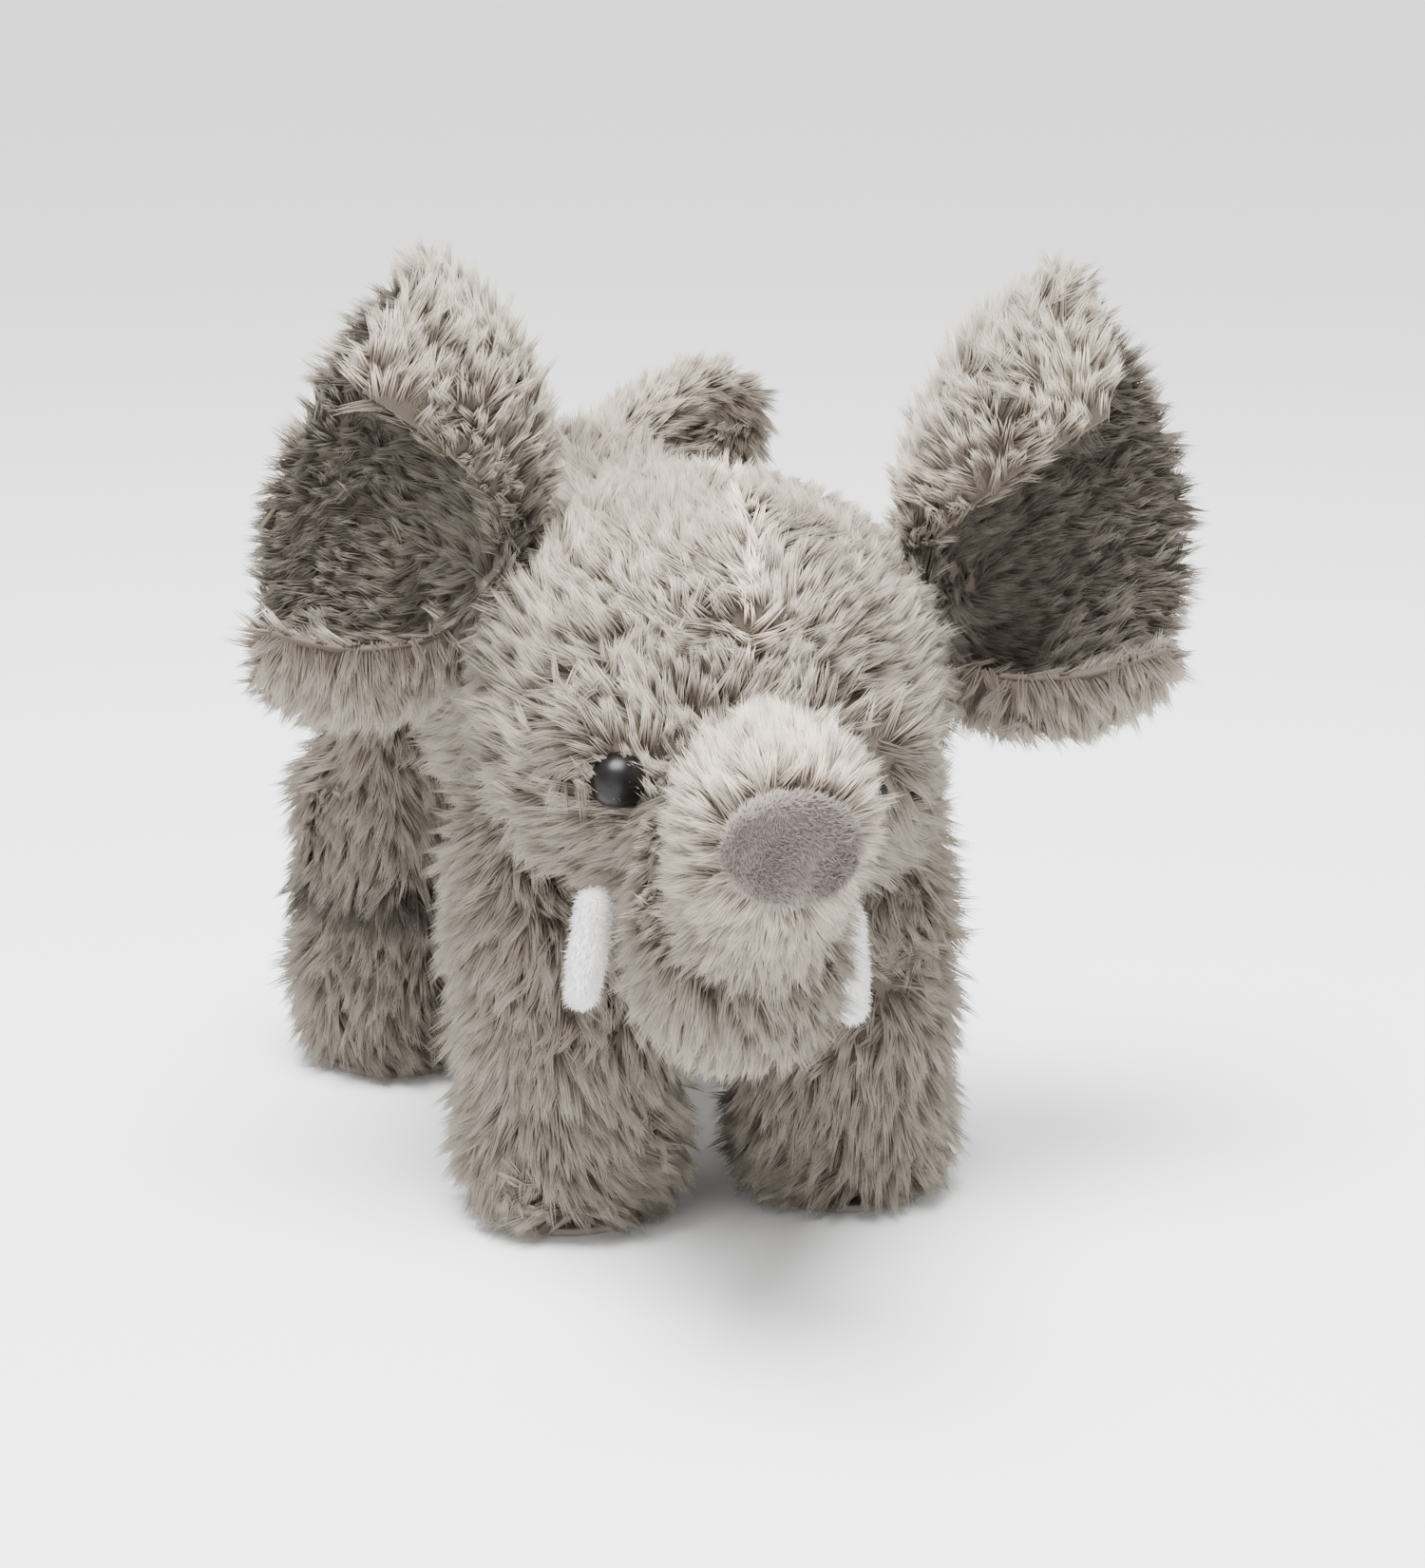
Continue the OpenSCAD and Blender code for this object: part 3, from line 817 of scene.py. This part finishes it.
def nearestGrid(name, p):
    # the place on the ear's grid nearest to each point
    grid = earGrid(name)[0]
    world = fromHead(grid.reshape(-1, 3))
    near = np.concatenate([np.argmin(((chunk[:, None] - world[None]) ** 2).sum(2), axis=1)
                           for chunk in np.array_split(p, max(len(p) // 500, 1))])
    return np.unravel_index(near, grid.shape[:2])


def earComb(name):
    root = jointAt("ear_" + name + "_fold")
    grid, _, _, sValues, _ = earGrid(name)
    across = unit(np.gradient(grid, axis=0)) @ headBasis

    def comb(p, n):
        i, j = nearestGrid(name, p)
        s = sValues[i]
        fromEdge = np.clip((np.abs(s) - 0.7) / 0.2, 0, 1)[:, None]  # parted to both sides of the edge seam
        inward = across[i, j] * np.sign(s)[:, None] * fromEdge * 0.9
        return unit(unit(p - root) * (1 - 0.35 * fromEdge) - inward)
    return comb


for k, name in enumerate(("left", "right")):
    root = jointAt("ear_" + name + "_fold")
    for face, side in (("front", 1), ("back", -1)):
        piece = earSheet(name, "ear_" + name + "_" + face + "_cloth", side)
        length = ear["hollowLength"] if side > 0 else ear["length"]

        def earScale(p, name=name, length=length):
            s = earGrid(name)[3][nearestGrid(name, p)[0]]
            edge = np.clip((np.abs(s) - 0.6) / 0.2, 0, 1)
            return 1 + (ear["length"] / length - 1) * edge

        # painted light on the ear pile: a painted highlight on the rolled edges and painted shade in the
        # front hollow
        def earTint(p, name=name, side=side):
            s = np.abs(earGrid(name)[3][nearestGrid(name, p)[0]])
            hollow = np.clip((0.9 - s) / 0.25, 0, 1)
            return ear["edgeTone"] * (1 - hollow) + ear["hollowShade"] * hollow * (side > 0)

        earPile = {"length": length, "lift": ear["lift"], "swirl": ear["swirl"]}
        growPile(piece, 41 + 2 * k + (side < 0), earComb(name), earPile, earScale, None, earTint)
        plushPiece(piece, ["ear_" + name + "_" + face])
        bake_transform(piece)


# torso
torso = {
    "radii": (36.0, 54, 36.0),
    "chestRadii": (26, 22, 24),
    "rump": (0, 32, 7),
    "rumpRadii": (31, 25, 34),
    "voxel": 2.6,
    "gussetAngle": 38,
    "length": 8.5,
    "clumps": 0.32,
    "bellyClumps": 0.24,
}
farOff = 200  # mm, added to a distance where it is not wanted
chestAt = np.array([headAt[0], headAt[1] + 27 * mm, 69.5 * mm])
gussetAngle = math.radians(torso["gussetAngle"])


def torsoComb(p, n):
    return np.zeros_like(p) + unit(np.array([0, 1.0, -0.5]))


def torsoKeep(p):
    fromLegs = [distance(p[:, :2], at[:2]) + farOff * (p[:, 2] > 69 * mm) for at in legAt.values()]
    inLeg = np.min(fromLegs, axis=0) < 17
    return np.where((distance(p, headAt) < 36) | inLeg, 0.0, np.where(p[:, 2] < 58 * mm, 0.5, 1.0))


def torsoSeam(p):
    v = (p - torsoAt) / mm
    below = np.abs(np.abs(v[:, 0]) * math.cos(gussetAngle) + v[:, 2] * math.sin(gussetAngle))
    below = below + farOff * (v[:, 2] > 0)
    return np.minimum(np.abs(v[:, 0]) + farOff * (v[:, 2] < 0), below)


def torsoPanel(c):
    v = c - torsoAt
    if distance(c, headAt) < 33:
        return "inside"
    if -v[2] > abs(v[0]) / math.tan(gussetAngle):
        return "belly"
    return "torso_left" if v[0] > 0 else "torso_right"


parts = [ball(torsoAt, torso["radii"]), ball(chestAt, torso["chestRadii"])]
parts.append(ball(torsoAt + np.array(torso["rump"]) * mm, torso["rumpRadii"]))
torsoSkin = plump(mergeSkin("torso", parts, torso["voxel"], 8), torsoSeam)
planes = [(torsoAt, (1, 0, 0))]
for s in (-1, 1):
    planes.append((torsoAt, (math.cos(gussetAngle), 0, s * math.sin(gussetAngle))))
panels = splitSkin(torsoSkin, planes, ["torso_left", "torso_right", "belly"], torsoPanel)
torsoPieces = (("torso_left", "torso_left_panel", "pile_grey"),
               ("torso_right", "torso_right_panel", "pile_grey"),
               ("belly", "belly_gusset", "pile_dark"))
for k, (name, node, slot) in enumerate(torsoPieces):
    piece = panels[name]
    clumps = torso["bellyClumps"] if name == "belly" else torso["clumps"]
    growPile(piece, 51 + k, torsoComb, {"length": torso["length"], "clumps": clumps}, None, torsoKeep)
    plushPiece(piece, [node])
    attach(piece, "torso")


# legs: balls from the floor up as (inward, back, height, half width, half depth, half height), in mm
leg = {
    "front": [(0, 0, 9, 18.4, 18.4, 9), (0, 0, 18, 19.0, 19.0, 16), (0, 0, 35, 18.9, 19.0, 17),
              (-1, 2, 52, 19.0, 18.6, 17), (0, 6, 65, 18.6, 17.5, 15)],
    "rear": [(0, 0, 9, 18.0, 18.0, 9), (0, 0, 21, 19.2, 19.2, 18), (0, 0, 38, 18.5, 18.5, 14),
             (1, 0, 54, 18.8, 19.6, 17), (7, -3, 69, 18.0, 21, 17)],
    "voxel": 2.2,
    "smooth": {"front": 8, "rear": 5},
    "length": 8.5,
    "clumps": 0.36,
    "footLift": 1.2,  # mm from the floor to the foot's cloth
    "soleRadius": 14,
    "soleThick": 1.4,
    "crease": 39,  # height of the fold above a rear foot
}


def legComb(at, inward):
    def comb(p, n):
        out = unit((p - at) * np.array([1, 1, 0]))
        return unit(np.array([inward * 0.15, 0, -1.0]) + out * 0.3)
    return comb


def legKeep(p):
    inHead = distance(p, headAt) < 33
    inTorso = np.linalg.norm((p - torsoAt) / mm / np.array(torso["radii"]), axis=1) < 0.92
    return np.where(p[:, 2] < 2.0 * mm, 0.12, np.where(inHead | inTorso, 0.0, 1.0))


# painted shade: the rear legs' pile darkens along the fold above the foot, where the crease lies in shade
def creaseShade(p):
    return -1.2 * np.exp(-((p[:, 2] / mm - leg["crease"]) / 3.5) ** 2)


for k, name in enumerate(legAt):
    at = legAt[name]
    kind = name.split("_")[0]
    inward = -np.sign(at[0] - torsoAt[0])
    parts = []
    for x, y, z, *radii in leg[kind]:
        parts.append(ball((at[0] + inward * x * mm, at[1] + y * mm, z * mm), radii))
    skin = mergeSkin("leg_" + name, parts, leg["voxel"], leg["smooth"][kind])
    piece = plump(skin, lambda p, at=at: np.abs(p[:, 0] - at[0]) / mm)
    for v in piece.data.vertices:
        v.co.z = max(v.co.z, leg["footLift"] * mm)
    legPile = {"length": leg["length"], "clumps": leg["clumps"]}
    tint = creaseShade if kind == "rear" else None
    growPile(piece, 61 + k, legComb(at, inward), legPile, None, legKeep, tint)
    plushPiece(piece, ["leg_" + name + "_sleeve"])
    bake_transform(piece)

    clearSelection()
    bpy.ops.mesh.primitive_cylinder_add(vertices=64, radius=leg["soleRadius"] * mm,
                                        depth=leg["soleThick"] * mm)
    piece = bpy.context.object
    piece.name = "sole_" + name
    piece.data.transform(Matrix.Translation((at[0], at[1], 0.75 * mm)))
    bevel = piece.modifiers.new("soft edge", "BEVEL")
    bevel.width = 0.5 * mm
    bevel.segments = 3
    applyModifiers(piece)
    setMaterial(piece, padCloth)
    for layer, value in (("pile", 0.6), ("shade", 0.5)):
        data = piece.data.attributes.new(layer, "FLOAT", "POINT")
        data.data.foreach_set("value", np.full(len(piece.data.vertices), value, np.float32))
    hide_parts("leg_" + name + "_sole")
    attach(piece, "leg_" + name)


# tail
tail = {
    "route": [(0, 0, 0), (8, 4, 7), (19, 8, 13), (29, 10, 16.5), (36, 9, 13.5), (35, 6, 7.5), (29, 4, 4)],
    "radii": [5.6, 5.5, 5.4, 5.4, 5.3, 5.0, 4.0],
    "length": 6.5,
}
tailPoints = np.array([tailRoot + np.array(p) * mm for p in tail["route"]])


def tailComb(p, n):
    step = unit(np.gradient(tailPoints, axis=0))
    near = np.argmin(np.linalg.norm(p[:, None] - tailPoints[None], axis=2), axis=1)
    return step[near]


piece = mergeSkin("tail", chain(tailPoints, tail["radii"], 3), 1.3, 5)
tailPile = {"length": tail["length"], "lift": 0.6, "clumps": 0.5, "swirl": 0.4, "tone": 0.6}
growPile(piece, 71, tailComb, tailPile)
plushPiece(piece, ["tail_sleeve", "tail_fill"])
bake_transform(piece)


# the design's own parts that still show
def simpleMaterial(name, colour, roughness, specular=0.5, bump=0.0, scale=900):
    mat, tree, shader = newMaterial(name)
    where = tree.nodes.new("ShaderNodeTexCoord")
    noise = tree.nodes.new("ShaderNodeTexNoise")
    noise.inputs["Scale"].default_value = scale
    tree.links.new(where.outputs["Object"], noise.inputs["Vector"])
    dark = tuple(c * 0.85 for c in colour)
    mottled = mixNode(tree, noise.outputs["Fac"], (*dark, 1), (*colour, 1))
    tree.links.new(mottled, shader.inputs["Base Color"])
    shader.inputs["Roughness"].default_value = roughness
    shader.inputs["Specular IOR Level"].default_value = specular
    if bump:
        node = tree.nodes.new("ShaderNodeBump")
        node.inputs["Strength"].default_value = bump
        node.inputs["Distance"].default_value = 0.3 * mm
        tree.links.new(noise.outputs["Fac"], node.inputs["Height"])
        tree.links.new(node.outputs["Normal"], shader.inputs["Normal"])
    return mat


eyePlastic = simpleMaterial("eye_black_plastic", (0.006, 0.0055, 0.0055), 0.34, 0.22)
washerPlastic = simpleMaterial("washer_plastic", (0.75, 0.76, 0.78), 0.4)
fibre = simpleMaterial("fibre_filling", (0.86, 0.85, 0.83), 0.9, 0.2, 0.8, 700)
for name, obj in frame["nodes"].items():
    if name.startswith("eye_washer"):
        setMaterial(obj, washerPlastic)
    elif name.startswith("eye_"):
        setMaterial(obj, eyePlastic)
    elif name.endswith("_fill"):
        setMaterial(obj, fibre)
print("kept parts finished")


# floor, lights and camera
floorMat, tree, shader = newMaterial("floor")
shader.inputs["Base Color"].default_value = (0.93, 0.93, 0.93, 1)
shader.inputs["Roughness"].default_value = 0.9
clearSelection()
bpy.ops.mesh.primitive_plane_add(size=80)
floor = bpy.context.object
floor.name = "floor"
setMaterial(floor, floorMat)

studio = {
    "key": {"at": (-0.12, -0.22, 1.0), "size": 0.6, "power": 34.0},
    "front": {"at": (-0.75, -0.95, 0.45), "size": 0.9, "power": 3.5},
    "side": {"at": (0.95, -0.35, 0.55), "size": 0.8, "power": 1.5},
    "air": 0.58,
    "horizon": 1.9,
    "sun": 4.4,
    "sunWidth": 35,  # degrees across
    "sunFrom": (-0.25, -0.12, 1.0),
}


def areaLight(name, at, size, power, aim=(0, 0, 0.08)):
    data = bpy.data.lights.new(name, "AREA")
    data.size = size
    data.energy = power
    obj = bpy.data.objects.new(name, data)
    bpy.context.scene.collection.objects.link(obj)
    obj.location = at
    obj.rotation_euler = (Vector(aim) - Vector(at)).to_track_quat("-Z", "Y").to_euler()
    return obj


for name in ("key", "front", "side"):
    areaLight(name, **studio[name])
sun = bpy.data.objects.new("sun", bpy.data.lights.new("sun", "SUN"))
sun.data.energy = studio["sun"]
sun.data.angle = math.radians(studio["sunWidth"])
sun.rotation_euler = (-Vector(studio["sunFrom"])).to_track_quat("-Z", "Y").to_euler()
bpy.context.scene.collection.objects.link(sun)
world = bpy.data.worlds.new("studio")
bpy.context.scene.world = world
world.use_nodes = True
air = world.node_tree.nodes["Background"]
air.inputs["Color"].default_value = (1, 1, 1, 1)
sky = world.node_tree.nodes.new("ShaderNodeTexCoord")
split = world.node_tree.nodes.new("ShaderNodeSeparateXYZ")
fade = world.node_tree.nodes.new("ShaderNodeMapRange")  # as pale as the floor where the two meet
world.node_tree.links.new(sky.outputs["Generated"], split.inputs[0])
world.node_tree.links.new(split.outputs["Z"], fade.inputs["Value"])
fade.inputs["From Min"].default_value = 0.0
fade.inputs["From Max"].default_value = 0.3
fade.inputs["To Min"].default_value = studio["horizon"]
fade.inputs["To Max"].default_value = studio["air"]
world.node_tree.links.new(fade.outputs["Result"], air.inputs["Strength"])

camera = {
    "azimuth": -17,
    "elevation": 13,
    "distance": 0.6,
    "target": (headAt[0], headAt[1] + 0.026, 0.0885),
    "lens": 75.3,
    "shift": (0.0303, -0.0527),
}
azimuth = math.radians(camera["azimuth"])
elevation = math.radians(camera["elevation"])
level = math.cos(elevation)
back = Vector((math.sin(azimuth) * level, -math.cos(azimuth) * level, math.sin(elevation)))
cameraData = bpy.data.cameras.new("camera")
cameraData.lens = camera["lens"]
cameraData.shift_x, cameraData.shift_y = camera["shift"]
cameraData.clip_start = 0.01
cameraObj = bpy.data.objects.new("camera", cameraData)
bpy.context.scene.collection.objects.link(cameraObj)
cameraObj.location = Vector(camera["target"]) + back * camera["distance"]
cameraObj.rotation_euler = (-back).to_track_quat("-Z", "Y").to_euler()
bpy.context.scene.camera = cameraObj
print("floor, lights and camera set")
